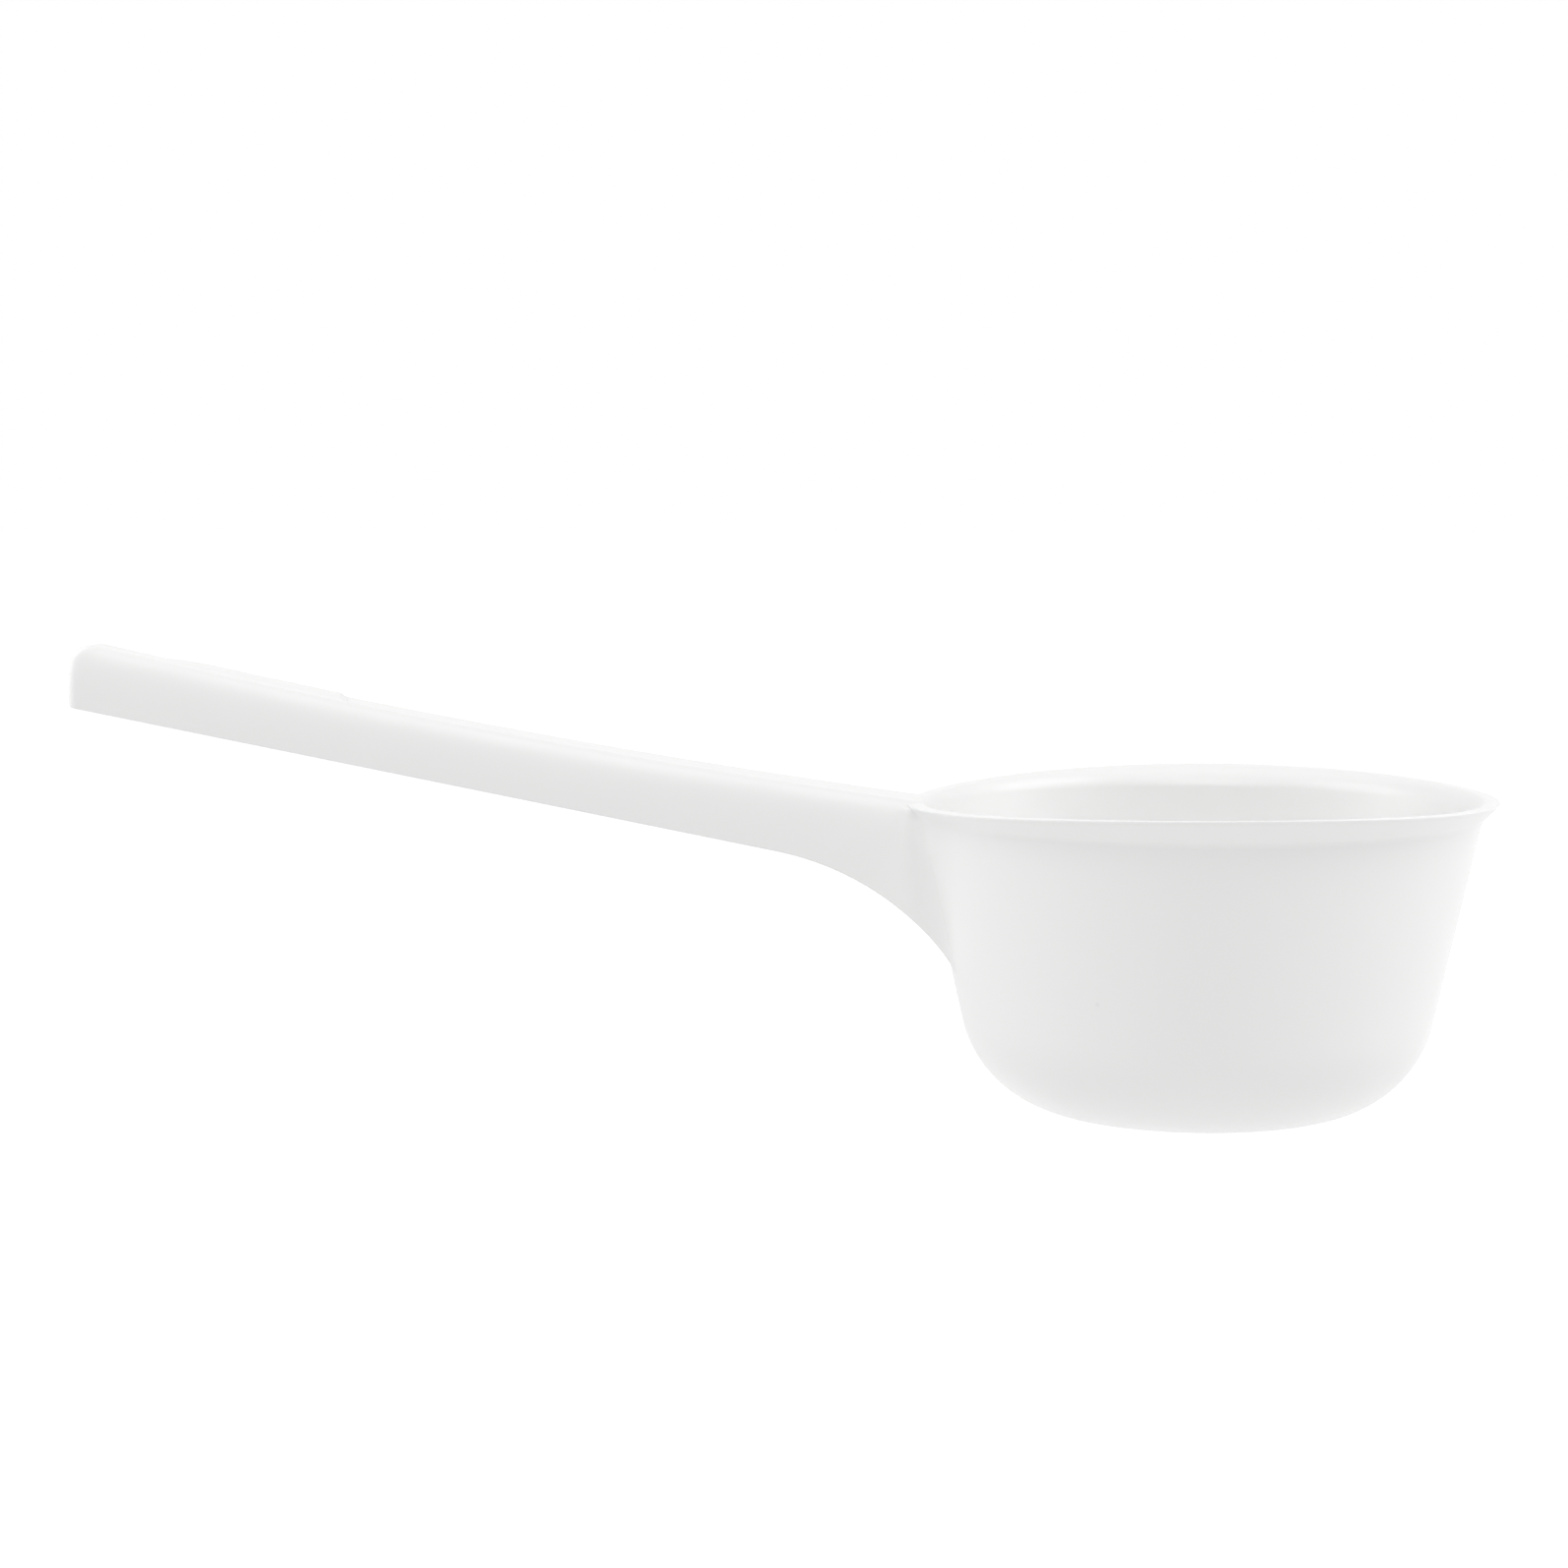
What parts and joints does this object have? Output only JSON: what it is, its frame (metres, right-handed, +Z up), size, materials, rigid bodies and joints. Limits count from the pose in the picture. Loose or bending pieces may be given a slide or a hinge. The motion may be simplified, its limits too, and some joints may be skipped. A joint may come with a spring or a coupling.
{
  "type": "water dipper",
  "caption": "Round plastic bowl with leaning walls and a flared, arched rim, and a long rising channel handle moulded on, for scooping and pouring bath water.",
  "frame": {"origin": "middle of the bowl's flat foot, on the face that it stands on", "axes": "+Z up along the bowl's axis, +X from the handle towards the pouring side, +Y across the handle"},
  "size_m": [0.3648, 0.154, 0.1171],
  "materials": {
    "white_plastic": "satin white moulded polypropylene, slightly translucent"
  },
  "bodies": {
    "root": {"dipper": "white_plastic"}
  },
  "joints": []
}
